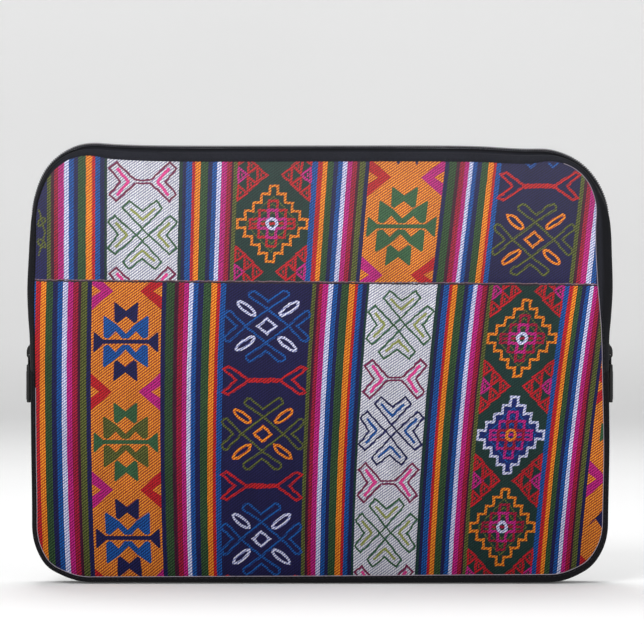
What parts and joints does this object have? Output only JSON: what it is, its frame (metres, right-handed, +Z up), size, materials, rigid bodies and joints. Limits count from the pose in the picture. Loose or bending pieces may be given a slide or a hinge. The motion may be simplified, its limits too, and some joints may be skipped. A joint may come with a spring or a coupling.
{
  "type": "laptop sleeve",
  "caption": "Flat padded laptop sleeve with a striped folk-textile print, black edges and a wrap-round zip that stands open, with a slider and pull on each side.",
  "frame": {"origin": "middle of the foot of the sleeve's box, on the surface that the gusset stands on", "axes": "+X along the width to the right as the printed panel is seen, +Y from the printed front to the plain back, +Z up from the gusset to the zip"},
  "size_m": [0.3538, 0.025, 0.263],
  "materials": {
    "printed_face": "knitted polyester face with a striped textile print",
    "black_face": "matt black knit face",
    "foam": "closed-cell foam core",
    "lining": "soft black knit lining",
    "binding": "woven binding tape",
    "zip_tape": "woven polyester zip tape",
    "zip_coil": "black nylon coil",
    "end_stop": "black painted metal",
    "slider": "black painted zinc",
    "pull_link": "black painted wire",
    "pull_grip": "black painted metal tag"
  },
  "bodies": {
    "root": {"front_print_lower": "printed_face", "front_foam_lower": "foam", "front_lining_lower": "lining", "back_face": "black_face", "back_foam": "foam", "back_lining": "lining", "gusset_face": "black_face", "gusset_foam": "foam", "gusset_lining": "lining", "front_seam_binding": "binding", "back_seam_binding": "binding", "front_tape_ends": "zip_tape", "front_coil_ends": "zip_coil", "back_zip_tape": "zip_tape", "back_zip_coil": "zip_coil", "left_end_stop": "end_stop", "right_end_stop": "end_stop", "left_end_patch": "binding", "right_end_patch": "binding"},
    "mouth_flap": {"front_print_upper": "printed_face", "front_foam_upper": "foam", "front_lining_upper": "lining", "front_zip_tape": "zip_tape", "front_zip_coil": "zip_coil"},
    "left_slider": {"left_slider": "slider", "left_slider_bridge": "slider"},
    "left_pull": {"left_pull_link": "pull_link", "left_pull_grip": "pull_grip"},
    "right_slider": {"right_slider": "slider", "right_slider_bridge": "slider"},
    "right_pull": {"right_pull_link": "pull_link", "right_pull_grip": "pull_grip"}
  },
  "joints": [
    {"name": "mouth_flap", "type": "hinge", "parent": "root", "child": "mouth_flap", "pos_m": [0, -0.0125, 0.147], "axis": [-1, 0, 0], "range_deg": [-25, 0], "stiffness_Nm_per_rad": 0.5, "springref_deg": 2.86},
    {"name": "left_slider_travel", "type": "slide", "parent": "root", "child": "left_slider", "axis": [0, 0, 1], "range_m": [0, 0.058]},
    {"name": "right_slider_travel", "type": "slide", "parent": "root", "child": "right_slider", "axis": [0, 0, 1], "range_m": [0, 0.058]},
    {"name": "left_pull_swing", "type": "hinge", "parent": "left_slider", "child": "left_pull", "pos_m": [-0.1756, 0, 0.1365], "axis": [0, 1, 0], "range_deg": [0, 145]},
    {"name": "right_pull_swing", "type": "hinge", "parent": "right_slider", "child": "right_pull", "pos_m": [0.1756, 0, 0.1365], "axis": [0, -1, 0], "range_deg": [0, 145]}
  ]
}
